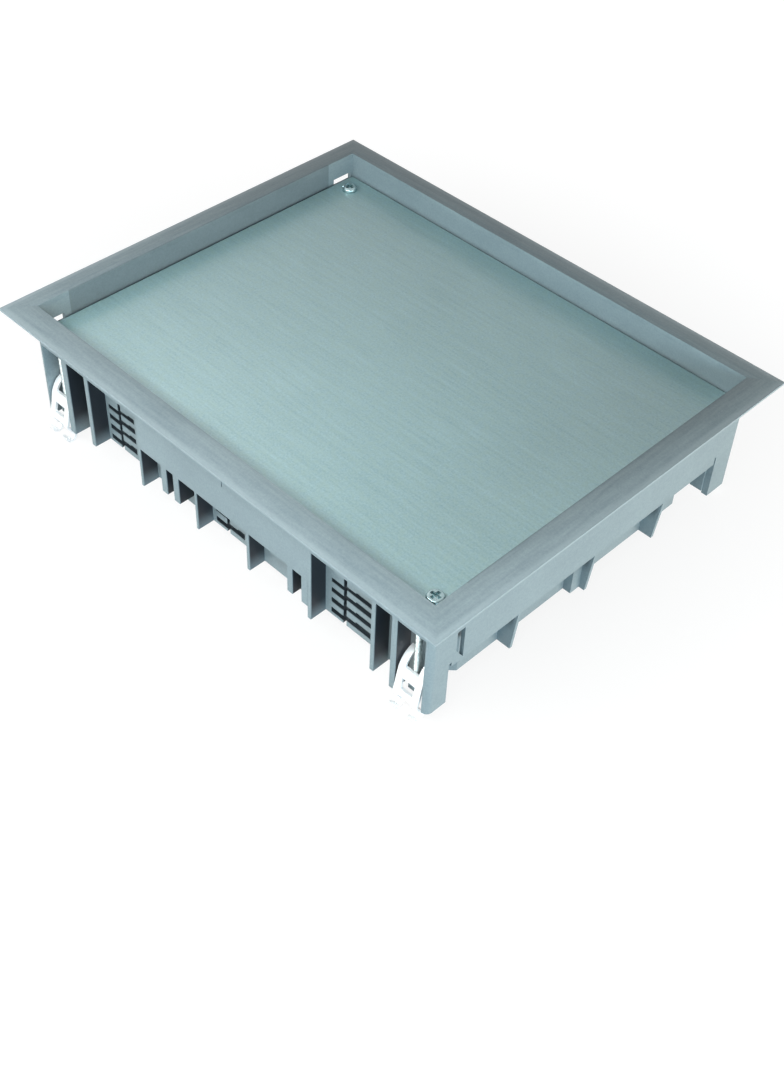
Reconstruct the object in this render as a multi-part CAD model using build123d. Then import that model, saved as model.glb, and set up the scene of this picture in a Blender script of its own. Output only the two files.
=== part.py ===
from build123d import *
import os
from math import cos, radians, sin

# Floor box cover: a rectangular moulded frame that hangs in an opening in a
# raised floor, a sheet steel cover plate screwed into its recess, and four
# sheet steel claws on long screws that grip the underside of the floor.
#
# Millimetres, +Z up. The origin is the centre of the opening at floor level,
# which is the underside of the flange. X runs along the long side.
# The frame and its fittings repeat after half a turn about Z.

# Sizes that drive the design.
BODY_L = 243.0
BODY_W = 193.0
FLANGE = 10.0
WALL = 1.9
BODY_R = 3.0
LIP_H = 1.0
RIDGE_H = 3.0
RIDGE_INSET = 11.6

PLATE_T = 2.0
PLATE_TOP = -9.0
PLATE_GAP = 1.1
LEDGE_T = 2.5
LEDGE_OVERLAP = 1.5

BAND_Z = -16.5
LONG_PANEL_Z = -33.7
SHORT_PANEL_Z = -37.3
POST_T = 3.1
POST_Z = -57.5

SKIRT_BACK_X = 9.0
SKIRT_BACK_Y = 8.3
SKIRT_T = 2.0
SKIRT_CUT = 18.2
LONG_SKIRT_Z = -55.0
SHORT_SKIRT_Z = -59.5

# The openings through the short walls above the plate, from the corner.
WINDOW_NEAR = 3.1
WINDOW_FAR = 14.7

FRONT_POST_W = 10.5
REAR_POST_W = 14.1

CLAW_IN_X = 10.5
CLAW_IN_Y = 4.6
CLAW_W = 13.0
CLAW_T = 1.2
ARM_W = 3.0

# Fits, named once.
RUN_FIT = 0.05
SHANK_CLEAR = 0.1
HEAD_CLEAR = 0.2

M3_R = 1.5
M3_HEAD_R = 2.5
M3_HEAD_H = 2.4
M3_LEN = 40.0
M3_NUT_AF = 5.5
M3_NUT_H = 5.2
M4_R = 2.0
M4_HEAD_R = 3.75
M4_HEAD_H = 2.2
M4_LEN = 12.0
COVER_IN_X = 11.2
COVER_IN_Y = 12.6
BOSS_R = 4.0
BOSS_Z = -22.0
INSERT_R = 2.8
INSERT_L = 6.0

RIM_L = BODY_L + 2 * FLANGE
RIM_W = BODY_W + 2 * FLANGE
RECESS_L = BODY_L - 2 * WALL
RECESS_W = BODY_W - 2 * WALL
PLATE_BOTTOM = PLATE_TOP - PLATE_T
LEDGE_Z = PLATE_BOTTOM - LEDGE_T
HALF_L = BODY_L / 2
HALF_W = BODY_W / 2
SKIRT_X = HALF_L - SKIRT_BACK_X
SKIRT_Y = HALF_W - SKIRT_BACK_Y
CLAW_X = HALF_L - CLAW_IN_X
CLAW_SCREW_Y = CLAW_IN_Y - HALF_W
COVER_X = HALF_L - COVER_IN_X
COVER_Y = COVER_IN_Y - HALF_W
SCREW_SEAT_Z = PLATE_BOTTOM - 3.0
LOWEST = -62.0
HALF_TURN = Rot(0, 0, 180)

# The tables below are in millimetres on a body of this size. On another body
# each thing keeps its share of the length, and its own thickness.
TABLE_L = 243.0
TABLE_W = 193.0
ALONG = BODY_L / TABLE_L
ACROSS = BODY_W / TABLE_W

# Ribs that run in from the long side: left edge, right edge, bottom.
RIBS = [
    (-87.8, -85.4, -55.0),
    (-52.2, -50.9, -55.5),
    (-14.8, -13.6, -55.0),
    (17.8, 19.3, -55.0),
    (54.6, 56.5, -55.0),
    (90.2, 92.2, -56.0),
]
# The two ribs that close the claw housings: gap to the claw's edge,
# thickness and bottom.
LEFT_HOUSING = (0.3, 3.5, -57.5)
RIGHT_HOUSING = (0.8, 2.7, -57.0)
# Short snap prongs below the middle panel of the long side.
PRONGS = [(-37.1, -33.6), (-29.0, -25.5), (42.6, 45.6), (51.0, 54.5)]
PRONG_Z = -48.5
# Louvre groups in the long skirt: left end and length.
LOUVRES = [(-84.0, 18.4), (-11.6, 18.4), (59.6, 29.0)]
LOUVRE_SPINE = 7.0
LOUVRE_STEP = 14.0
LOUVRE_RISE = 0.7
LOUVRE_TOP = -29.0
LOUVRE_DEPTH = 1.7
LOUVRE_BACK = 1.5
LOUVRE_LEFT_ROWS = [(-36.1, -33.6), (-41.9, -39.0), (-47.8, -44.8), (-53.7, -50.7)]
LOUVRE_RIGHT_ROWS = [(-34.6, -31.6), (-40.3, -36.9), (-46.1, -42.9), (-52.5, -48.7)]
TICK_X = 3.6
# Tapered fins on the short side, and the small box beside the middle one.
SHORT_FINS = [-45.5, 1.2, 46.5]
BOX_W = 6.4
BOX_DEPTH = 4.0
BOX_WALL = 1.3


def block(x0, x1, y0, y1, z0, z1):
    """A box between six limits."""
    centre = ((x0 + x1) / 2, (y0 + y1) / 2, (z0 + z1) / 2)
    return Pos(*centre) * Box(abs(x1 - x0), abs(y1 - y0), abs(z1 - z0))


def prism(sketch, z0, z1):
    """A flat outline raised from z0 to z1."""
    return Pos(0, 0, z0) * extrude(sketch, amount=z1 - z0)


def outline(points):
    """A filled outline through the given points."""
    return make_face(Polyline(*points, close=True))


def kept(x0, x1):
    """Two edges moved with the body's length, as far apart as before."""
    middle = (x0 + x1) / 2 * ALONG
    half = (x1 - x0) / 2
    return middle - half, middle + half


def body_outline():
    """The plan of the part of the frame that drops into the floor."""
    return RectangleRounded(BODY_L, BODY_W, BODY_R)


def skirt_outline(inward):
    """The plan of the inner skirt, moved inward by the given distance."""
    x = SKIRT_X - inward
    y = SKIRT_Y - inward
    cut = SKIRT_CUT - inward * 0.586
    points = [
        (x, -y + cut), (x, y - cut), (x - cut, y), (-x + cut, y),
        (-x, y - cut), (-x, -y + cut), (-x + cut, -y), (x - cut, -y),
    ]
    return outline(points)


def frame_rim():
    """Flange with a thin lip that rises to a ridge beside the recess."""
    lip = prism(Rectangle(RIM_L, RIM_W), 0, LIP_H)
    low = Pos(0, 0, LIP_H) * Rectangle(RIM_L, RIM_W)
    top_l = RIM_L - 2 * RIDGE_INSET
    top_w = RIM_W - 2 * RIDGE_INSET
    high = Pos(0, 0, RIDGE_H) * Rectangle(top_l, top_w)
    slope = loft([low, high], ruled=True)
    return lip + slope


def frame_band():
    """The wall that runs all the way round, with the shelf for the plate."""
    band = prism(body_outline(), BAND_Z, 0.0)
    band -= prism(Rectangle(RECESS_L, RECESS_W), PLATE_BOTTOM, 1.0)
    band -= prism(skirt_outline(SKIRT_T + LEDGE_OVERLAP), BAND_Z - 1, 1.0)
    return band - prism(Rectangle(RECESS_L, RECESS_W), BAND_Z - 1, LEDGE_Z)


def skirt_ring():
    """Inner skirt below the shelf; the long and short walls end at two depths."""
    ring = prism(skirt_outline(0), SHORT_SKIRT_Z, LEDGE_Z)
    ring -= prism(skirt_outline(SKIRT_T), SHORT_SKIRT_Z - 1, LEDGE_Z + 1)
    reach = SKIRT_X - SKIRT_CUT + 7.0
    for side in (-1, 1):
        y0 = side * (SKIRT_Y - SKIRT_CUT)
        y1 = side * (SKIRT_Y + SKIRT_T)
        ring -= block(-reach, reach, y0, y1, LOWEST, LONG_SKIRT_Z)
    return ring


def rib(x0, x1, bottom):
    """One rib from the long side to the inner skirt."""
    inner = -SKIRT_Y + SKIRT_T / 2
    if abs(x0) > SKIRT_X - SKIRT_CUT and abs(x1) > SKIRT_X - SKIRT_CUT:
        near = min(abs(x0), abs(x1))
        inner = near - SKIRT_X - SKIRT_Y + SKIRT_CUT + 1.6
    return block(x0, x1, -HALF_W, inner, bottom, LEDGE_Z)


def housing_ribs():
    """Edges and bottoms of the ribs beside the two claws of one long side."""
    edge = CLAW_X - CLAW_W / 2
    gap, thick, bottom = LEFT_HOUSING
    left = (gap - edge, gap - edge + thick, bottom)
    gap, thick, bottom = RIGHT_HOUSING
    right = (edge - gap - thick, edge - gap, bottom)
    return [left, right]


def long_side():
    """Everything that hangs from one long side of the frame."""
    ribs = [(*kept(x0, x1), bottom) for x0, x1, bottom in RIBS]
    parts = [rib(*item) for item in ribs + housing_ribs()]
    panel_x0 = ribs[1][0]
    panel_x1 = ribs[4][1]
    panel = block(panel_x0, panel_x1, -HALF_W, -HALF_W + WALL, LONG_PANEL_Z, BAND_Z)
    slot_x1 = ribs[4][0] - 0.4
    slot_z = LONG_PANEL_Z + 2.2
    panel -= block(slot_x1 - 1.6, slot_x1, -HALF_W - 1, -HALF_W + WALL + 1, slot_z, BAND_Z)
    parts.append(panel)
    for item in PRONGS:
        parts.append(block(*kept(*item), -HALF_W, -SKIRT_Y + 1, PRONG_Z, LEDGE_Z))
    for side in (-1, 1):
        parts.append(claw_pad(side * CLAW_X))
    return parts


def tick_cutter():
    """Fine upright line cut in the face of the long side."""
    return block(TICK_X, TICK_X + 0.6, -HALF_W - 1, -HALF_W + 0.4, BAND_Z - 1.7, BAND_Z + 1.8)


def claw_pad(x):
    """Thicker patch of the shelf that carries one claw screw."""
    half = CLAW_W / 2 + 0.9
    return block(x - half, x + half, -HALF_W, CLAW_SCREW_Y + 5.4, BAND_Z, LEDGE_Z)


def short_wall():
    """Outer panel of one short side with its two corner posts."""
    inner = HALF_L - WALL
    front_post = FRONT_POST_W - HALF_W
    rear_post = HALF_W - REAR_POST_W
    panel = block(inner, HALF_L, front_post + 1.5, rear_post, SHORT_PANEL_Z, BAND_Z)
    corner_z = SHORT_PANEL_Z + 2.3
    corner = block(inner, HALF_L, front_post - 1, front_post + 3.6, corner_z, BAND_Z)
    top = BAND_Z - 3.1
    window = [
        (front_post + 3.5, top),
        (front_post + 7.7, top),
        (front_post + 7.7, SHORT_PANEL_Z + 1.0),
        (front_post + 3.5, SHORT_PANEL_Z + 7.3),
    ]
    opening = Plane.YZ.offset(inner - 1) * outline(window)
    post_x = HALF_L - POST_T
    front = block(post_x, HALF_L, -HALF_W, front_post, POST_Z, LEDGE_Z)
    rear = block(post_x, HALF_L, rear_post, HALF_W, POST_Z + 1.0, LEDGE_Z)
    wall = panel + corner
    wall -= extrude(opening, amount=WALL + 2)
    nick_z = SHORT_PANEL_Z + 3.9
    wall -= block(inner - 1, HALF_L + 1, rear_post - 1.0, rear_post, SHORT_PANEL_Z - 1, nick_z)
    wall += front
    return wall + rear


def cheek(y, inner_x, bottom):
    """A wall that closes the side of a claw housing."""
    return block(inner_x, HALF_L - POST_T + 0.1, y - 0.75, y + 0.75, bottom, LEDGE_Z)


def short_fin(y):
    """Fin between the short panel and the skirt, narrowing downward."""
    points = [
        (SKIRT_X - 1, LEDGE_Z),
        (HALF_L, LEDGE_Z),
        (HALF_L, SHORT_PANEL_Z),
        (HALF_L - 2.2, SHORT_SKIRT_Z),
        (SKIRT_X - 1, SHORT_SKIRT_Z),
    ]
    face = Plane.XZ.offset(-y + 0.8) * outline(points)
    return extrude(face, amount=-1.6)


def middle_box():
    """Small open box beside the middle fin of the short side."""
    y1 = SHORT_FINS[1] * ACROSS
    y0 = y1 - BOX_W
    outer = SKIRT_X + BOX_DEPTH
    shell = block(SKIRT_X - 1, outer, y0, y1, SHORT_SKIRT_Z, LEDGE_Z)
    room_x = outer - BOX_WALL
    return shell - block(SKIRT_X, room_x, y0 + BOX_WALL, y1 - 0.8, LOWEST, SHORT_PANEL_Z + 7.3)


def short_side():
    """Everything that hangs from one short side of the frame."""
    parts = [short_wall()]
    bottom = LONG_SKIRT_Z + 0.2
    parts.append(cheek(HALF_W - REAR_POST_W - 0.2, SKIRT_X, bottom))
    parts.append(cheek(FRONT_POST_W - HALF_W, SKIRT_X - 4, bottom))
    for y in SHORT_FINS:
        parts.append(short_fin(y * ACROSS))
    parts.append(middle_box())
    return parts


def louvre_backs():
    """Thicker patches of the long skirt that close the louvres from behind."""
    backs = []
    for place, length in LOUVRES:
        x0 = place * ALONG - 1.0
        x1 = (place + length) * ALONG + 1.0
        y1 = -SKIRT_Y + SKIRT_T + LOUVRE_BACK
        backs.append(block(x0, x1, -SKIRT_Y + SKIRT_T / 2, y1, LONG_SKIRT_Z, LEDGE_Z))
    return backs


def louvre_cutters():
    """Blind slots of the three louvre groups in one long skirt."""
    y0 = -SKIRT_Y - 0.5
    y1 = -SKIRT_Y + LOUVRE_DEPTH
    cutters = []
    for place, length in LOUVRES:
        start = place * ALONG
        spine = start + LOUVRE_SPINE
        step = start + LOUVRE_STEP
        right = start + length * ALONG
        cutters.append(block(spine, spine + 1.9, y0, y1, LOWEST, LOUVRE_TOP))
        for z0, z1 in LOUVRE_LEFT_ROWS:
            cutters.append(block(start, spine + 0.2, y0, y1, z0, z1))
        for z0, z1 in LOUVRE_RIGHT_ROWS:
            cutters.append(block(spine + 1.7, step + 0.1, y0, y1, z0, z1 - LOUVRE_RISE))
            cutters.append(block(step, right, y0, y1, z0, z1))
    return cutters


def screw_cutters():
    """Seats and holes for the claw screws, and the bored bosses."""
    cutters = []
    for x in (-CLAW_X, CLAW_X):
        at = Pos(x, CLAW_SCREW_Y, 0)
        cutters.append(at * tube(M3_HEAD_R + HEAD_CLEAR, SCREW_SEAT_Z, PLATE_BOTTOM + 0.5))
        cutters.append(at * tube(M3_R + SHANK_CLEAR, BAND_Z - 1, SCREW_SEAT_Z + 0.5))
    at = Pos(COVER_X, COVER_Y, 0)
    cutters.append(at * tube(INSERT_R, BOSS_Z - 1, PLATE_BOTTOM + 1))
    return cutters


def tube(radius, z0, z1):
    """A round bar on the Z axis from z0 to z1."""
    return Pos(0, 0, (z0 + z1) / 2) * Cylinder(radius, z1 - z0)


def window_cutters():
    """Openings through the short walls near the corners, above the shelf."""
    cutters = []
    for side in (-1, 1):
        y0 = side * (HALF_W - WINDOW_FAR)
        y1 = side * (HALF_W - WINDOW_NEAR)
        cutters.append(block(HALF_L - WALL - 1, HALF_L + 1, y0, y1, PLATE_BOTTOM, PLATE_TOP + 2.0))
    return cutters


def both_ends(shapes):
    """The shapes together with their copies after half a turn."""
    return list(shapes) + [HALF_TURN * shape for shape in shapes]


def make_frame():
    """The whole moulded frame as one solid."""
    hanging = long_side() + short_side() + louvre_backs()
    boss = Pos(COVER_X, COVER_Y, 0) * tube(BOSS_R, BOSS_Z, LEDGE_Z + 0.5)
    hanging.append(boss)
    frame = frame_band() + skirt_ring()
    added = Part() + both_ends(hanging)
    frame = frame + (added & prism(body_outline(), LOWEST, 0))
    rim = frame_rim() - prism(Rectangle(RECESS_L, RECESS_W), -1, RIDGE_H + 1)
    frame = frame + rim
    cutters = both_ends(louvre_cutters() + screw_cutters() + window_cutters() + [tick_cutter()])
    return frame - cutters


def make_plate():
    """Cover plate with two screw holes on a diagonal."""
    size_l = RECESS_L - 2 * PLATE_GAP
    size_w = RECESS_W - 2 * PLATE_GAP
    plate = prism(RectangleRounded(size_l, size_w, 1.5), PLATE_BOTTOM, PLATE_TOP)
    for sign in (1, -1):
        hole = Pos(sign * COVER_X, sign * COVER_Y, 0)
        plate -= hole * tube(M4_R + SHANK_CLEAR, PLATE_BOTTOM - 1, PLATE_TOP + 1)
    return plate


def cross_recess(reach, width, depth, top):
    """The cross that a driver fits, with tapering arms."""
    arms = Rectangle(2 * reach, width) + Rectangle(width, 2 * reach)
    return Pos(0, 0, top - depth) * extrude(arms, amount=depth + 0.5, taper=-12)


def pan_screw(shank_r, length, head_r, head_h, recess):
    """Screw with a domed head; its seat is at z = 0 and it points down."""
    head = tube(head_r, 0, head_h)
    head = fillet(head.edges().filter_by(GeomType.CIRCLE).group_by(Axis.Z)[-1], head_h * 0.6)
    shank = tube(shank_r, -length, 0)
    shank = chamfer(shank.edges().filter_by(GeomType.CIRCLE).group_by(Axis.Z)[0], 0.5)
    screw = head + shank
    return screw - cross_recess(*recess, head_h)


def cover_screw():
    """Screw of the cover plate."""
    return pan_screw(M4_R, M4_LEN, M4_HEAD_R, M4_HEAD_H, (2.0, 0.9, 1.5))


def claw_screw():
    """Long screw that draws one claw up."""
    return pan_screw(M3_R, M3_LEN, M3_HEAD_R, M3_HEAD_H, (1.5, 0.75, 1.4))


def cover_insert():
    """Threaded brass sleeve in the boss, with two plain bands."""
    body = tube(INSERT_R, PLATE_BOTTOM - INSERT_L, PLATE_BOTTOM)
    groove = tube(INSERT_R + 1, -INSERT_L / 2 - 0.6, -INSERT_L / 2 + 0.6)
    groove -= tube(INSERT_R - 0.4, -INSERT_L, 0)
    body -= Pos(0, 0, PLATE_BOTTOM) * groove
    return body - tube(M4_R + RUN_FIT, PLATE_BOTTOM - INSERT_L - 1, PLATE_BOTTOM + 1)


# Middle line of the claw's sheet seen from the side, from the top edge down
# to the curled foot. Y is measured from the axis of the claw's screw.
CLAW_PATH = [
    (4.1, -35.7), (2.0, -36.4), (-0.1, -37.9), (-1.5, -39.6), (-2.9, -42.6),
    (-3.7, -46.4), (-4.8, -51.8), (-5.9, -55.4), (-4.3, -58.0), (-2.7, -59.6),
]
CLAW_REACH = 12.0
FOOT_Y = -4.7
FOOT_Z = -61.3
FOOT_R = 2.4
TONGUE_TOP = -45.4
TONGUE_BACK = -3.7
TONGUE_FRONT = 3.6
TONGUE_HALF = 3.2
WINDOW_HALF = 3.25
WINDOW_Z0 = -51.8
ARM_GAP_Z = -41.5
LOWER_BAR_Z = -54.8


def claw_profile():
    """Side view of the bent sheet with its full thickness."""
    foot = [
        (FOOT_Y + FOOT_R * cos(radians(a)), FOOT_Z + FOOT_R * sin(radians(a)))
        for a in range(0, -196, -15)
    ]
    return thick_line(CLAW_PATH + foot)


def thick_line(points):
    """An outline that follows the points with half the sheet on each side."""
    half = CLAW_T / 2
    left = []
    right = []
    for index, (y, z) in enumerate(points):
        y0, z0 = points[max(index - 1, 0)]
        y1, z1 = points[min(index + 1, len(points) - 1)]
        run_y = y1 - y0
        run_z = z1 - z0
        size = (run_y ** 2 + run_z ** 2) ** 0.5
        left.append((y - half * run_z / size, z + half * run_y / size))
        right.append((y + half * run_z / size, z - half * run_y / size))
    return outline(left + right[::-1])


def make_claw():
    """Bent sheet claw on its screw's axis: two arms, a tongue and two feet."""
    face = Plane.YZ.offset(-CLAW_W / 2) * claw_profile()
    claw = extrude(face, amount=CLAW_W)
    arm_gap = CLAW_W / 2 - ARM_W
    below = TONGUE_TOP - CLAW_T
    claw -= block(-arm_gap, arm_gap, -CLAW_REACH, CLAW_REACH, ARM_GAP_Z, SCREW_SEAT_Z)
    claw -= block(-WINDOW_HALF, WINDOW_HALF, -CLAW_REACH, 0, WINDOW_Z0, below)
    feet_z = LOWER_BAR_Z - CLAW_REACH
    claw -= block(-arm_gap, arm_gap, -CLAW_REACH, CLAW_REACH, feet_z, LOWER_BAR_Z)
    claw += block(-TONGUE_HALF, TONGUE_HALF, TONGUE_BACK, TONGUE_FRONT, below, TONGUE_TOP)
    return claw - tube(M3_R + RUN_FIT, TONGUE_TOP - 3, TONGUE_TOP + 3)


def make_claw_nut():
    """Hexagon nut under the tongue of a claw."""
    top = TONGUE_TOP - CLAW_T
    hexagon = RegularPolygon(M3_NUT_AF / 2, 6, major_radius=False)
    nut = prism(hexagon, top - M3_NUT_H, top)
    return nut - tube(M3_R + RUN_FIT, top - M3_NUT_H - 1, top + 1)


def corner_place(corner):
    """Where a claw and its screw stand at one corner."""
    x = CLAW_X if corner in ("front_right", "rear_left") else -CLAW_X
    place = Pos(x, CLAW_SCREW_Y, 0)
    return HALF_TURN * place if corner.startswith("rear") else place


def all_pieces():
    """Every piece by name."""
    pieces = {"frame": make_frame(), "cover_plate": make_plate()}
    screw = Pos(COVER_X, COVER_Y, PLATE_TOP) * cover_screw()
    insert = Pos(COVER_X, COVER_Y, 0) * cover_insert()
    pieces["cover_screw_front"] = screw
    pieces["cover_screw_rear"] = HALF_TURN * screw
    pieces["cover_insert_front"] = insert
    pieces["cover_insert_rear"] = HALF_TURN * insert
    claw = make_claw()
    nut = make_claw_nut()
    long_screw = Pos(0, 0, SCREW_SEAT_Z) * claw_screw()
    for corner in ("front_left", "front_right", "rear_right", "rear_left"):
        place = corner_place(corner)
        pieces["claw_" + corner] = place * claw
        pieces["claw_nut_" + corner] = place * nut
        pieces["claw_screw_" + corner] = place * long_screw
    return pieces


os.makedirs("parts", exist_ok=True)
for name, shape in all_pieces().items():
    export_step(shape, "parts/" + name + ".step")
    box = shape.bounding_box()
    print(name, round(shape.volume, 1), [round(v, 2) for v in (*box.min, *box.max)])
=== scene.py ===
# %% [markdown]
# # A floor box cover
# This lesson dresses a cover for a socket box in a raised floor. The real
# object is a grey moulded frame with a sheet steel plate screwed into its
# recess. Four bent steel claws hang on long screws at the corners and grip the
# floor from below. The solid model is loaded first, and stays where it is.

# %% Load the solid model
import math

import bmesh
import bpy
from mathutils import Matrix, Vector


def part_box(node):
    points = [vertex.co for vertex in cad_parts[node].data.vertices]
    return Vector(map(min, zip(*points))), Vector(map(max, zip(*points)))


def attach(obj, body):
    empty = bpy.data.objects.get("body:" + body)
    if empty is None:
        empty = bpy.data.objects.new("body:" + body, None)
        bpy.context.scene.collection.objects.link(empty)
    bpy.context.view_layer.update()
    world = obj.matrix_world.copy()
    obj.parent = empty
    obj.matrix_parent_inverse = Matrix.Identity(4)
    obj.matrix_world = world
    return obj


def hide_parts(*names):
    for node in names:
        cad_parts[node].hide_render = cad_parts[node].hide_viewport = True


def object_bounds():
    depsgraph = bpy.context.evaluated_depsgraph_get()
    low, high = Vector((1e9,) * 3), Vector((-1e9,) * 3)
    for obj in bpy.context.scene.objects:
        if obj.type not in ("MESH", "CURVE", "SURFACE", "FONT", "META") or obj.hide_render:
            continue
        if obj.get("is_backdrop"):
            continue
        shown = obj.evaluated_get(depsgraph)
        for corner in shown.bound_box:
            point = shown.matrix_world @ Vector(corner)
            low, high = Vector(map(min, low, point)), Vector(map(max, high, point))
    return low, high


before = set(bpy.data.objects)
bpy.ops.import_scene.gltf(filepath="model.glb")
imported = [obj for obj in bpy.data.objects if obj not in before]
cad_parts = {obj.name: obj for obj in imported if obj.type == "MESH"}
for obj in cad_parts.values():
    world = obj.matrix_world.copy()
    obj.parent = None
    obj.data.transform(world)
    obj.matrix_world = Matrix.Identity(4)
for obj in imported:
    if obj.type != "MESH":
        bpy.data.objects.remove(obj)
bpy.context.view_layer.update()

# %% [markdown]
# ## The camera
# The photograph looks down on one corner. The lens and the place were worked
# out from the eight corners of the flange and of the recess. The picture is
# taller than wide, so the lens is measured against its height.

# %% Place the camera
MM = 0.001
FOCAL_PX = 1474.0
PHOTO_HEIGHT_PX = 1066.0
AZIMUTH = math.radians(43.02)
ELEVATION = math.radians(44.97)
ROLL = math.radians(2.90)
AIM = Vector((81.4, -78.0, 0.0)) * MM
DISTANCE = 551.6 * MM


def make_camera():
    """The camera of the photograph."""
    back = Vector((
        math.sin(AZIMUTH) * math.cos(ELEVATION),
        -math.cos(AZIMUTH) * math.cos(ELEVATION),
        math.sin(ELEVATION),
    ))
    level = Vector((math.cos(AZIMUTH), math.sin(AZIMUTH), 0.0))
    upright = back.cross(level)
    right = level * math.cos(ROLL) + upright * math.sin(ROLL)
    up = upright * math.cos(ROLL) - level * math.sin(ROLL)
    data = bpy.data.cameras.new("photo_camera")
    data.sensor_fit = "VERTICAL"
    data.sensor_height = 36.0
    data.lens = FOCAL_PX / PHOTO_HEIGHT_PX * 36.0
    data.clip_start = 0.01
    camera = bpy.data.objects.new("photo_camera", data)
    bpy.context.scene.collection.objects.link(camera)
    spin = Matrix((right, up, back)).transposed().to_4x4()
    camera.matrix_world = Matrix.Translation(AIM + back * DISTANCE) @ spin
    bpy.context.scene.camera = camera
    return camera


camera = make_camera()
print("lens", round(camera.data.lens, 2), "mm, camera at", [round(v, 3) for v in camera.location])

# %% [markdown]
# ## Shader maths as plain Python
# Each finish is a small network of nodes. To keep it readable, one class wraps
# a socket so that `1 - mask` or `noise * 0.2` adds the Math nodes itself, and
# one method makes any other node. Only what changes over the surface comes
# through links. A value that is the same everywhere is set on the shader.

# %% Sockets that understand arithmetic


class Sock:
    """A shader socket with the operators of a number."""

    def __init__(self, maker, socket):
        self.maker = maker
        self.socket = socket

    def maths(self, operation, first, second):
        return self.maker.node("ShaderNodeMath", {0: first, 1: second}, operation=operation)

    def __add__(self, other):
        return self.maths("ADD", self, other)

    __radd__ = __add__

    def __sub__(self, other):
        return self.maths("SUBTRACT", self, other)

    def __rsub__(self, other):
        return self.maths("SUBTRACT", other, self)

    def __mul__(self, other):
        return self.maths("MULTIPLY", self, other)

    __rmul__ = __mul__

    def clipped(self):
        """The value held between 0 and 1."""
        return self.maker.node("ShaderNodeClamp", {0: self})


class Finish:
    """One material under construction."""

    def __init__(self, name, **constants):
        self.material = bpy.data.materials.new(name)
        self.material.use_nodes = True
        self.tree = self.material.node_tree
        self.shader = self.tree.nodes["Principled BSDF"]
        for socket, value in constants.items():
            self.shader.inputs[socket.replace("_", " ")].default_value = value
        self.place = self.node("ShaderNodeTexCoord", {}, output="Object")

    def node(self, kind, values, output=0, **settings):
        """Any node: its settings first, then the values or links of its sockets."""
        made = self.tree.nodes.new(kind)
        for key, value in settings.items():
            setattr(made, key, value)
        for key, value in values.items():
            if isinstance(value, Sock):
                self.tree.links.new(value.socket, made.inputs[key])
            else:
                made.inputs[key].default_value = value
        return Sock(self, made.outputs[output])

    def stretched(self, scale):
        """Object coordinates stretched along each axis."""
        return self.node("ShaderNodeMapping", {"Vector": self.place, "Scale": scale})

    def noise(self, scale, detail, rough, place=None):
        """Soft random variation; scale is in waves per metre."""
        values = {
            "Vector": place or self.place,
            "Scale": scale,
            "Detail": detail,
            "Roughness": rough,
        }
        return self.node("ShaderNodeTexNoise", values, output="Fac")

    def blend(self, mask, first, second):
        """From one colour to another as the mask goes from 0 to 1."""
        values = {0: mask, 6: first, 7: second}
        return self.node("ShaderNodeMix", values, output=2, data_type="RGBA")

    def bump(self, height, distance, strength=1.0, below=None):
        """Relief in metres from a height value."""
        values = {"Height": height, "Distance": distance, "Strength": strength}
        if below is not None:
            values["Normal"] = below
        return self.node("ShaderNodeBump", values, output="Normal")

    def feed(self, **links):
        """Connect what varies to the shader."""
        for name, value in links.items():
            self.tree.links.new(value.socket, self.shader.inputs[name.replace("_", " ")])
        return self.material


OPERATORS = [name for name in vars(Sock) if name.endswith(("add__", "sub__", "mul__"))]
print("operators of a socket:", OPERATORS)

# %% [markdown]
# ## Colours
# Screen colours are written as they are seen, from 0 to 255, and turned into
# the linear light values that Blender mixes.

# %% Turn seen colours into light values


def seen(red, green, blue):
    """A colour as it looks on a screen, as linear light."""
    def linear(value):
        value = value / 255.0
        return value / 12.92 if value <= 0.04045 else ((value + 0.055) / 1.055) ** 2.4
    return (linear(red), linear(green), linear(blue), 1.0)


print("mid grey is", [round(v, 3) for v in seen(150, 170, 178)])

# %% [markdown]
# ## Where on the frame
# The frame is one moulding, yet its plastic doesn't look the same all over.
# Masks that read the Object coordinates say where a point lies. They follow the
# object and not the camera, so they hold in every view. The places are in
# millimetres: half the flange each way, half the body, and the flange's slope.

# %% Masks by place
RIM_X = 131.5
RIM_Y = 106.5
BODY_Y = 96.5
SLOPE = 11.6


def span(f, value, low, high):
    """Zero below the first limit in millimetres, one above the second."""
    values = {0: value, 1: low * MM, 2: high * MM, 3: 0.0, 4: 1.0}
    return f.node("ShaderNodeMapRange", values, interpolation_type="SMOOTHSTEP")


def height_of(f):
    """Height above the floor that the cover lies in."""
    return f.node("ShaderNodeSeparateXYZ", {0: f.place}, output="Z")


def away(f, axis):
    """Distance from the middle of the object along one axis."""
    part = f.node("ShaderNodeSeparateXYZ", {0: f.place}, output=axis)
    return f.node("ShaderNodeMath", {0: part}, operation="ABSOLUTE")


def inward(f):
    """Distance in from the nearest edge of the flange."""
    edge_x = RIM_X * MM - away(f, "X")
    edge_y = RIM_Y * MM - away(f, "Y")
    return f.node("ShaderNodeMath", {0: edge_x, 1: edge_y}, operation="MINIMUM")


print("the flange is", RIM_X * 2, "by", RIM_Y * 2, "mm")

# %% [markdown]
# ## Deep shade in the pockets
# Under the flange the long sides have pockets between their ribs, and louvres
# with blind slots. The photograph shows them almost black, which soft lamps
# don't reach. So the plastic itself is darker there, fading out at the foot.
# The tops of the fins under the short sides are treated in the same way.

# %% Shade of the pockets, slots and fins


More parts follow.
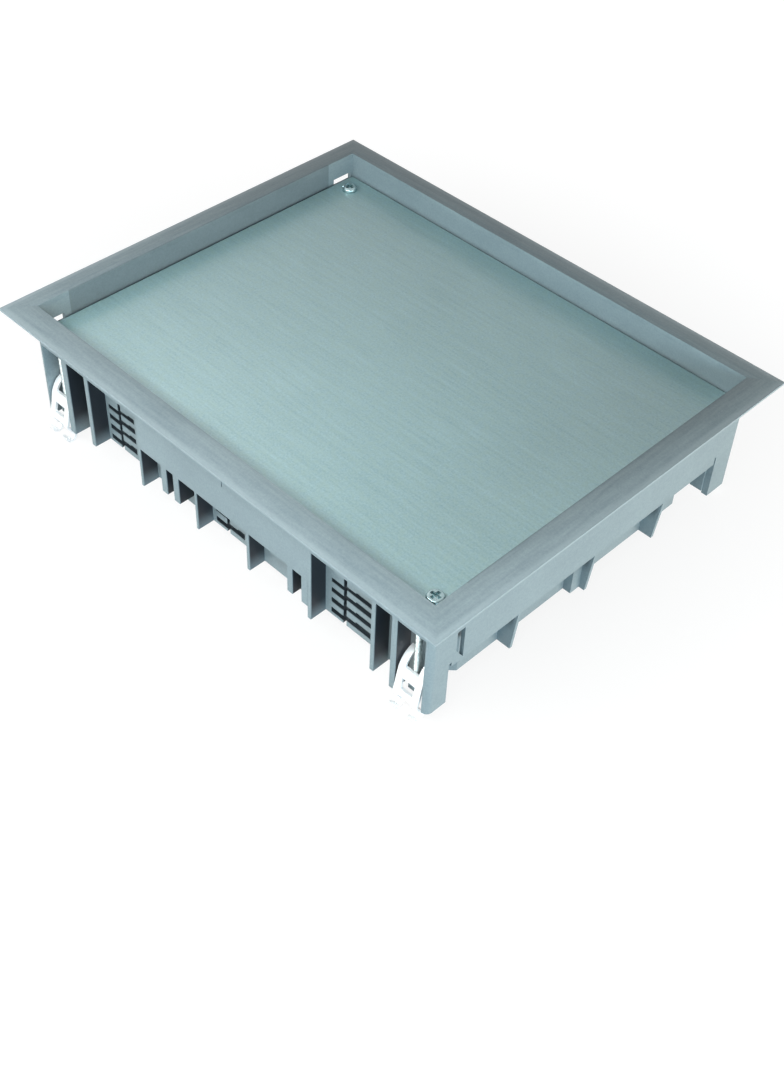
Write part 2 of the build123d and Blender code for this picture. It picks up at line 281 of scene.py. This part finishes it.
def pocket_shade(f):
    """Near one in the pockets and the slots and at the tops of the fins, else zero."""
    height = height_of(f)
    along = away(f, "X")
    depth = BODY_Y * MM - away(f, "Y")
    pocket = span(f, depth, 0.15, 0.6) * (1.0 - span(f, depth, 8.0, 8.25))
    pocket = pocket * (1.0 - span(f, along, 117.8, 118.2))
    slot = span(f, depth, 8.4, 8.7) * (1.0 - span(f, depth, 10.1, 10.2))
    slot = slot * (1.0 - span(f, along, 93.8, 94.2)) * span(f, height, -54.9, -54.6)
    under_band = 1.0 - span(f, height, -17.2, -16.5)
    above_foot = span(f, height, -58.5, -46.0) * 0.8 + 0.2
    behind_panel = span(f, along, 112.7, 113.1) * (1.0 - span(f, along, 118.0, 120.8))
    behind_panel = behind_panel * (1.0 - span(f, away(f, "Y"), 78.0, 78.4))
    fin_top = behind_panel * span(f, height, -51.0, -39.0) * 0.85
    return (pocket * above_foot + slot * 0.96) * under_band + fin_top


print("the pockets start", BODY_Y, "mm from the middle")

# %% [markdown]
# ## The flange
# The outer rim of the flange is painted a little lighter, a painted highlight
# along its edge, and faint streaks run along each side. Its top is also slightly
# crowned. The crown rises by under half a millimetre over the solid's slope, so
# a bump carries it.

# %% Painted rim highlight, streaks and crown of the flange


def flange_rim_highlight(f):
    """Painted highlight: one along the very edge of the flange, fading to zero a few millimetres
    in.
    """
    return 1.0 - span(f, inward(f), 1.0, 3.4)


def flange_streaks(f):
    """Fine streaks that run along each side of the flange, about zero."""
    nearer = (RIM_Y * MM - away(f, "Y")) - (RIM_X * MM - away(f, "X"))
    short_side = span(f, nearer, -0.1, 0.1)
    along_x = f.noise(520.0, 4.0, 0.7, f.stretched((0.07, 1.0, 0.3)))
    along_y = f.noise(520.0, 4.0, 0.7, f.stretched((1.0, 0.07, 0.3)))
    streaks = along_x * (1.0 - short_side) + along_y * short_side - 0.5
    return streaks * span(f, height_of(f), 0.2, 0.6)


def flange_crown(f):
    """Height of the flange over its straight slope, from 0 to about 0.2."""
    share = (inward(f) * (1.0 / (SLOPE * MM))).clipped()
    arc = f.node("ShaderNodeMath", {0: share * (math.pi / 2)}, operation="SINE")
    return (arc - share) * span(f, height_of(f), 0.4, 0.8)


print("the flange slopes over", SLOPE, "mm")

# %% [markdown]
# ## Moulded grey plastic
# The frame is one moulding in a cool grey, with a fine spark-eroded grain from
# the tool. Close up the grain scatters the light. From afar there are faint
# cloudy patches, where the melt cooled at different speeds.

# %% Finish of the frame


def moulded_grey():
    """Cool grey plastic with a fine tool grain."""
    f = Finish("moulded_grey", IOR=1.38)
    cloud = f.noise(22.0, 4.0, 0.6)
    streak = f.noise(9.0, 3.0, 0.55, f.stretched((1.0, 1.0, 9.0)))
    mottle = f.noise(430.0, 3.0, 0.7)
    fleck = f.noise(1100.0, 2.0, 0.7)
    tone = cloud * 0.3 + streak * 0.2 + mottle * 0.15 + fleck * 0.35
    tone = (tone * 1.8 - 0.4 + flange_streaks(f) * 1.1).clipped()
    colour = f.blend(tone, seen(113, 129, 136), seen(152, 166, 171))
    # painted highlight along the outer rim of the flange
    colour = f.blend(flange_rim_highlight(f) * 0.4, colour, seen(168, 180, 186))
    # painted shade in the pockets, in the slots and at the tops of the fins
    colour = f.blend(pocket_shade(f), colour, seen(30, 36, 43))
    grain = f.noise(2000.0, 2.0, 0.6)
    crown = f.bump(flange_crown(f), 2.0 * MM)
    relief = f.bump(grain, 0.06 * MM, 0.45, crown)
    rough = 0.36 + cloud * 0.12 + grain * 0.06
    return f.feed(Base_Color=colour, Roughness=rough, Normal=relief)


GREY = moulded_grey()
print(GREY.name, "has", len(GREY.node_tree.nodes), "nodes")

# %% [markdown]
# ## Zinc coated sheet
# The plate is rolled sheet with a thin zinc coat. It is satin, not a mirror:
# rolling leaves very fine lines along the sheet, and the coat has a cloudy
# bloom with a fine speckle. It is mostly a pale coat with a strong gloss, so
# Metallic is low and the IOR is high.

# %% Finish of the plate


def zinc_sheet():
    """Satin zinc coated steel sheet with fine rolling lines."""
    f = Finish("zinc_sheet", Metallic=0.12, IOR=1.9)
    bloom = f.noise(14.0, 5.0, 0.62)
    lines = f.noise(560.0, 3.0, 0.65, f.stretched((0.05, 1.0, 1.0)))
    speck = f.noise(1100.0, 2.0, 0.75)
    tone = ((bloom * 0.2 + lines * 0.32 + speck * 0.48) * 2.8 - 0.9).clipped()
    colour = f.blend(tone, seen(124, 159, 165), seen(166, 198, 203))
    warm = (f.noise(420.0, 2.0, 0.6) * 3.0 - 1.1).clipped() * 0.4
    colour = f.blend(warm, colour, seen(154, 182, 172))
    rough = 0.30 + bloom * 0.06 + lines * 0.06
    relief = f.bump(lines, 0.02 * MM, 0.3)
    relief = f.bump(speck, 0.01 * MM, 0.3, relief)
    return f.feed(Base_Color=colour, Roughness=rough, Normal=relief)


SHEET = zinc_sheet()
print(SHEET.name, "has", len(SHEET.node_tree.nodes), "nodes")

# %% [markdown]
# ## Plated fastenings and brass
# Claws and screws are bright plated steel. The plating is even, with small
# cloudy differences in gloss. The claws are the palest and least metallic of
# them. The nuts are dull, and their colour is darkened as painted shade where
# they show in the claw's window. The brass sleeves sit out of sight under the
# plate.

# %% Finishes of the fastenings


def plated(name, dark, light, rough, metal=0.85):
    """Plated steel with a cloudy gloss."""
    f = Finish(name, Metallic=metal)
    cloud = f.noise(260.0, 4.0, 0.6)
    speck = f.noise(2400.0, 2.0, 0.6)
    tone = (cloud * 0.7 + speck * 0.3).clipped()
    gloss = rough + cloud * 0.14
    relief = f.bump(speck, 0.01 * MM, 0.35)
    return f.feed(Base_Color=f.blend(tone, dark, light), Roughness=gloss, Normal=relief)


CLAW_ZINC = plated("claw_zinc", seen(236, 238, 241), seen(252, 252, 252), 0.42, 0.5)
SCREW_ZINC = plated("screw_zinc", seen(206, 218, 218), seen(240, 246, 244), 0.24)
HEAD_ZINC = plated("head_zinc", seen(138, 164, 168), seen(182, 204, 206), 0.2)
# painted shade: the nut's colour is darkened where it shows in the claw's window
NUT_ZINC = plated("nut_zinc", seen(92, 106, 112), seen(132, 148, 152), 0.3)
BRASS = plated("sleeve_brass", seen(176, 142, 74), seen(214, 182, 110), 0.3)
for metal in (CLAW_ZINC, SCREW_ZINC, HEAD_ZINC, NUT_ZINC, BRASS):
    print("fastening finish:", metal.name)

# %% [markdown]
# ## Softened edges
# The solid model has knife edges, but nothing that comes out of a mould or off
# a press does. Each piece is copied, its loose triangles are merged, flat
# facets are joined into whole faces, and every sharp edge gets a tiny round.
# The round is what catches the light along an edge.

# %% Copy a solid and round its edges
MERGE_WITHIN = 0.001 * MM
FLAT_WITHIN = math.radians(0.6)
SHARP_FROM = math.radians(28.0)


def merged_copy(node):
    """A copy of a solid with its triangles joined into whole faces."""
    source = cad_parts[node]
    mesh = source.data.copy()
    bm = bmesh.new()
    bm.from_mesh(mesh)
    bmesh.ops.remove_doubles(bm, verts=bm.verts, dist=MERGE_WITHIN)
    bmesh.ops.dissolve_limit(bm, angle_limit=FLAT_WITHIN, verts=bm.verts, edges=bm.edges)
    bm.to_mesh(mesh)
    bm.free()
    return mesh


def finished(name, mesh, material, width):
    """An object with softened edges and even shading, as a plain mesh."""
    thing = bpy.data.objects.new(name, mesh)
    bpy.context.scene.collection.objects.link(thing)
    bevel = thing.modifiers.new("soft_edges", "BEVEL")
    bevel.width = width
    bevel.segments = 2
    bevel.limit_method = "ANGLE"
    bevel.angle_limit = SHARP_FROM
    bevel.harden_normals = False
    bevel.use_clamp_overlap = True
    weigh = thing.modifiers.new("even_shading", "WEIGHTED_NORMAL")
    weigh.keep_sharp = True
    for face in mesh.polygons:
        face.use_smooth = True
    bpy.context.view_layer.update()
    shape = thing.evaluated_get(bpy.context.evaluated_depsgraph_get())
    plain = bpy.data.meshes.new_from_object(shape)
    thing.modifiers.clear()
    thing.data = plain
    plain.materials.clear()
    plain.materials.append(material)
    return thing


def dress(name, node, body, material, width):
    """A softened copy of a solid that stands for it and rides with its body."""
    piece = finished(name, merged_copy(node), material, width)
    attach(piece, body)
    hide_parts(node)
    return piece


print("edges sharper than", round(math.degrees(SHARP_FROM)), "degrees get a round")

# %% [markdown]
# ## The moulded frame
# The frame keeps the exact shape of its solid, with edges rounded by a quarter
# of a millimetre.

# %% Dress the frame
moulding = dress("moulded_frame", "frame", "frame", GREY, 0.25 * MM)
print("frame faces:", len(moulding.data.polygons))

# %% [markdown]
# ## The cover plate and its screws
# The plate is a cut sheet with a fine break on its edges. Its two screws have
# domed heads with a cross recess.

# %% Dress the plate, its screws and their sleeves
plate = dress("steel_plate", "cover_plate", "frame", SHEET, 0.18 * MM)
for end in ("front", "rear"):
    screw, sleeve = "cover_screw_" + end, "cover_insert_" + end
    dress("cover_screw_head_" + end, screw, "frame", HEAD_ZINC, 0.08 * MM)
    dress("brass_sleeve_" + end, sleeve, "frame", BRASS, 0.06 * MM)
print("plate faces:", len(plate.data.polygons))

# %% [markdown]
# ## A thread that follows its screw
# The long claw screws show their thread. A spiral with a small triangular
# section, swept round a core, follows a rule, so Geometry Nodes make it. The
# sizes are named inputs: radius, depth, pitch and length.

# %% Build the thread's node tree
SCREW_RADIUS = 1.5 * MM
THREAD_DEPTH = 0.28 * MM
THREAD_PITCH = 0.5 * MM
SCREW_LENGTH = 40.0 * MM


def thread_tree():
    """Core and ridge of a screw that hangs down from the origin."""
    tree = bpy.data.node_groups.new("screw_thread", "GeometryNodeTree")
    face = tree.interface
    face.new_socket("Geometry", in_out="INPUT", socket_type="NodeSocketGeometry")
    for label in ("Radius", "Depth", "Pitch", "Length"):
        face.new_socket(label, in_out="INPUT", socket_type="NodeSocketFloat")
    face.new_socket("Finish", in_out="INPUT", socket_type="NodeSocketMaterial")
    face.new_socket("Geometry", in_out="OUTPUT", socket_type="NodeSocketGeometry")

    def add(kind, links=None, **settings):
        made = tree.nodes.new(kind)
        for key, value in settings.items():
            setattr(made, key, value)
        for key, value in (links or {}).items():
            if isinstance(value, bpy.types.NodeSocket):
                tree.links.new(value, made.inputs[key])
            else:
                made.inputs[key].default_value = value
        return made

    def maths(operation, first, second):
        return add("ShaderNodeMath", {0: first, 1: second}, operation=operation).outputs[0]

    def moved_down(shape, by):
        drop = add("ShaderNodeCombineXYZ", {"Z": by}).outputs[0]
        return add("GeometryNodeTransform", {"Geometry": shape, "Translation": drop}).outputs[0]

    given = add("NodeGroupInput").outputs
    run = maths("SUBTRACT", given["Length"], maths("MULTIPLY", given["Pitch"], 2.0))
    turns = maths("DIVIDE", run, given["Pitch"])
    root = maths("SUBTRACT", given["Radius"], given["Depth"])
    spiral = add("GeometryNodeCurveSpiral", {
        "Resolution": 18,
        "Rotations": turns,
        "Start Radius": root,
        "End Radius": root,
        "Height": run,
    }).outputs[0]
    corner = add("GeometryNodeCurvePrimitiveCircle", {"Resolution": 3, "Radius": given["Depth"]})
    ridge = add("GeometryNodeCurveToMesh", {
        "Curve": spiral,
        "Profile Curve": corner.outputs[0],
        "Fill Caps": True,
    }).outputs[0]
    ridge = moved_down(ridge, maths("MULTIPLY", maths("ADD", run, given["Pitch"]), -1.0))
    core = add("GeometryNodeMeshCylinder", {
        "Vertices": 24,
        "Radius": root,
        "Depth": given["Length"],
    }).outputs["Mesh"]
    core = moved_down(core, maths("MULTIPLY", given["Length"], -0.5))
    both = add("GeometryNodeJoinGeometry")
    tree.links.new(core, both.inputs[0])
    tree.links.new(ridge, both.inputs[0])
    real = add("GeometryNodeRealizeInstances", {0: both.outputs[0]}).outputs[0]
    done = add("GeometryNodeSetMaterial", {"Geometry": real, "Material": given["Finish"]})
    add("NodeGroupOutput", {0: done.outputs[0]})
    return tree


THREAD = thread_tree()
print("thread tree nodes:", len(THREAD.nodes))

# %% [markdown]
# ## Claw screws
# The head of each screw comes from the solid, cut off just under its seat. The
# threaded shank from the node tree is joined to it.

# %% Make the four long screws


def from_tree(name, tree, values):
    """The result of a node tree as a plain mesh."""
    holder = bpy.data.objects.new(name, bpy.data.meshes.new(name))
    bpy.context.scene.collection.objects.link(holder)
    modifier = holder.modifiers.new(name, "NODES")
    modifier.node_group = tree
    for item in tree.interface.items_tree:
        if item.in_out == "INPUT" and item.name in values:
            modifier[item.identifier] = values[item.name]
    bpy.context.view_layer.update()
    shape = holder.evaluated_get(bpy.context.evaluated_depsgraph_get())
    mesh = bpy.data.meshes.new_from_object(shape)
    bpy.data.objects.remove(holder)
    return mesh


def screw_with_thread(corner):
    """One claw screw: softened head and threaded shank in one piece."""
    node = "claw_screw_" + corner
    low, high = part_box(node)
    seat = low.z + SCREW_LENGTH
    axis = Vector(((low.x + high.x) / 2, (low.y + high.y) / 2, seat))
    piece = finished("long_screw_" + corner, merged_copy(node), SCREW_ZINC, 0.08 * MM)
    bm = bmesh.new()
    bm.from_mesh(piece.data)
    every = list(bm.verts) + list(bm.edges) + list(bm.faces)
    level = Vector((0, 0, seat - 0.02 * MM))
    down = (0, 0, -1)
    cut = bmesh.ops.bisect_plane(bm, geom=every, plane_co=level, plane_no=down, clear_outer=True)
    rim = [item for item in cut["geom_cut"] if isinstance(item, bmesh.types.BMEdge)]
    bmesh.ops.contextual_create(bm, geom=rim)
    shank = from_tree("shank_" + corner, THREAD, {
        "Radius": SCREW_RADIUS,
        "Depth": THREAD_DEPTH,
        "Pitch": THREAD_PITCH,
        "Length": SCREW_LENGTH,
        "Finish": SCREW_ZINC,
    })
    shank.transform(Matrix.Translation(axis))
    bm.from_mesh(shank)
    bm.to_mesh(piece.data)
    bm.free()
    bpy.data.meshes.remove(shank)
    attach(piece, node)
    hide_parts(node)
    return piece


CORNERS = ("front_left", "front_right", "rear_right", "rear_left")
long_screws = [screw_with_thread(corner) for corner in CORNERS]
faces = long_screws[0].data.polygons
print("triangles in one screw:", sum(len(face.vertices) - 2 for face in faces))

# %% [markdown]
# ## Claws and nuts
# The claws are pressed from sheet, so their edges have a small round from the
# tumbling before plating. Each nut shows as a grey face in the claw's window.

# %% Dress the claws and nuts
for corner in CORNERS:
    claw, nut = "claw_" + corner, "claw_nut_" + corner
    dress("sheet_claw_" + corner, claw, claw, CLAW_ZINC, 0.16 * MM)
    dress("hex_nut_" + corner, nut, claw, NUT_ZINC, 0.15 * MM)
print("claws and nuts done")

# %% [markdown]
# ## The studio
# The object stands on its claws on a plain floor. Camera, glossy and
# transmission rays see the floor and the sky as white, with the object's soft
# shadow on the floor. Away from the object the floor's glow is painted brighter
# until it is pure white. The rays that light the object see a grey floor and a
# dim sky, so the lamps alone decide where the light falls.

# %% Floor and background
FLOOR_SIZE = 6.0
FLOOR_GREY = (0.42, 0.42, 0.42, 1.0)
FLOOR_PALE = (0.95, 0.95, 0.95, 1.0)
GLOW_SHARE = 0.86
FADE_FROM, FADE_TO = 0.12, 0.4
GLOW_NEAR, GLOW_FAR = 1.0, 1.2
SKY_COLOUR = (0.86, 0.97, 1.0, 1.0)
SKY_STRENGTH = 0.03


def sees_white(maker):
    """One for the rays that should see a white studio, zero for the rest."""
    path = maker.nodes.new("ShaderNodeLightPath")
    total = path.outputs["Is Camera Ray"]
    for ray in ("Is Glossy Ray", "Is Transmission Ray"):
        add = maker.nodes.new("ShaderNodeMath")
        add.operation = "ADD"
        add.use_clamp = True
        maker.links.new(total, add.inputs[0])
        maker.links.new(path.outputs[ray], add.inputs[1])
        total = add.outputs[0]
    return total


def studio_floor():
    """A large pale floor that reads as white and keeps a soft shadow."""
    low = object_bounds()[0].z
    bpy.ops.mesh.primitive_plane_add(size=FLOOR_SIZE, location=(0, 0, low - 0.2 * MM))
    floor = bpy.context.object
    floor.name = "studio_floor"
    f = Finish("studio_floor", Roughness=0.9)
    f.shader.inputs["Base Color"].default_value = FLOOR_GREY
    tree = f.tree
    glow = tree.nodes.new("ShaderNodeEmission")
    glow.inputs["Strength"].default_value = 1.0
    pale = tree.nodes.new("ShaderNodeBsdfDiffuse")
    pale.inputs["Color"].default_value = FLOOR_PALE
    shown = tree.nodes.new("ShaderNodeMixShader")
    shown.inputs[0].default_value = GLOW_SHARE
    tree.links.new(pale.outputs[0], shown.inputs[1])
    tree.links.new(glow.outputs[0], shown.inputs[2])
    near = f.node("ShaderNodeVectorMath", {0: f.place}, output="Value", operation="LENGTH")
    # painted light: the floor's glow rises with the distance from the object
    limits = {0: near, 1: FADE_FROM, 2: FADE_TO, 3: GLOW_NEAR, 4: GLOW_FAR}
    glare = f.node("ShaderNodeMapRange", limits)
    glare = f.node("ShaderNodeCombineXYZ", {0: glare, 1: glare, 2: glare})
    tree.links.new(glare.socket, glow.inputs["Color"])
    choose = tree.nodes.new("ShaderNodeMixShader")
    tree.links.new(sees_white(tree), choose.inputs[0])
    tree.links.new(f.shader.outputs[0], choose.inputs[1])
    tree.links.new(shown.outputs[0], choose.inputs[2])
    tree.links.new(choose.outputs[0], tree.nodes["Material Output"].inputs[0])
    floor.data.materials.append(f.material)
    floor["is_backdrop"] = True


def studio_sky():
    """World light: a dim sky for the object, pure white where it is seen."""
    world = bpy.data.worlds.new("studio_sky")
    world.use_nodes = True
    bpy.context.scene.world = world
    tree = world.node_tree
    tree.nodes.clear()
    lit = tree.nodes.new("ShaderNodeBackground")
    lit.inputs["Color"].default_value = SKY_COLOUR
    lit.inputs["Strength"].default_value = SKY_STRENGTH
    shown = tree.nodes.new("ShaderNodeBackground")
    shown.inputs["Color"].default_value = (1.0, 1.0, 1.0, 1.0)
    shown.inputs["Strength"].default_value = 1.0
    choose = tree.nodes.new("ShaderNodeMixShader")
    out = tree.nodes.new("ShaderNodeOutputWorld")
    tree.links.new(sees_white(tree), choose.inputs[0])
    tree.links.new(lit.outputs[0], choose.inputs[1])
    tree.links.new(shown.outputs[0], choose.inputs[2])
    tree.links.new(choose.outputs[0], out.inputs[0])


studio_floor()
studio_sky()
print("the floor is white from", FADE_TO, "m out")

# %% [markdown]
# ## Lamps
# In the photograph the plate is brightest near the front, so the main lamp hangs
# above the front edge. Softer lamps on the right light the short side. Two low
# lamps behind and on the left light the sides that the photograph doesn't show.
# They stay below the flange, so they hardly reach its top.

# %% Place the lamps


def soft_lamp(name, place, aim, width, height, power, colour):
    """A rectangular soft lamp that looks at a point."""
    data = bpy.data.lights.new(name, "AREA")
    data.shape = "RECTANGLE"
    data.size = width
    data.size_y = height
    data.energy = power
    data.color = colour
    lamp = bpy.data.objects.new(name, data)
    bpy.context.scene.collection.objects.link(lamp)
    lamp.location = place
    lamp.rotation_euler = (Vector(aim) - Vector(place)).to_track_quat("-Z", "Y").to_euler()


# name, place, what it looks at, width, height, power, colour
LAMPS = (
    ("over_front_edge", (0, -0.26, 0.22), (0, -0.1, 0), 0.5, 0.12, 1.35, (0.95, 1.0, 1.0)),
    ("wide_front", (0, -0.3, 0.16), (0, -0.1, 0), 1.0, 0.08, 0.15, (0.95, 1.0, 0.8)),
    ("low_front", (0, -0.45, 0.02), (0, -0.1, -0.03), 0.5, 0.15, 0.5, (0.9, 1.0, 1.0)),
    ("behind_left", (-0.62, 0.2, 0.62), (-0.05, -0.1, 0), 0.4, 0.15, 0.35, (1.0, 0.85, 0.85)),
    ("low_right", (0.55, 0.1, 0.05), (0.12, 0.05, -0.02), 0.5, 0.1, 2.0, (1.0, 0.95, 0.84)),
    ("front_right", (0.7, -0.35, 0.1), (0.12, 0, -0.02), 0.4, 0.2, 2.7, (0.56, 0.82, 0.98)),
    ("low_behind", (0, 0.6, -0.03), (0, 0.1, -0.03), 0.6, 0.06, 1.5, (0.86, 0.96, 1.0)),
    ("low_left", (-0.62, 0, -0.03), (-0.12, 0, -0.03), 0.5, 0.06, 1.3, (0.86, 0.96, 1.0)),
)
for lamp in LAMPS:
    soft_lamp(*lamp)
bpy.context.scene.view_settings.view_transform = "Standard"
print("lamps:", len(LAMPS))

# %% [markdown]
# ## Sizes
# The dressed object must fill the same box as the solid model.
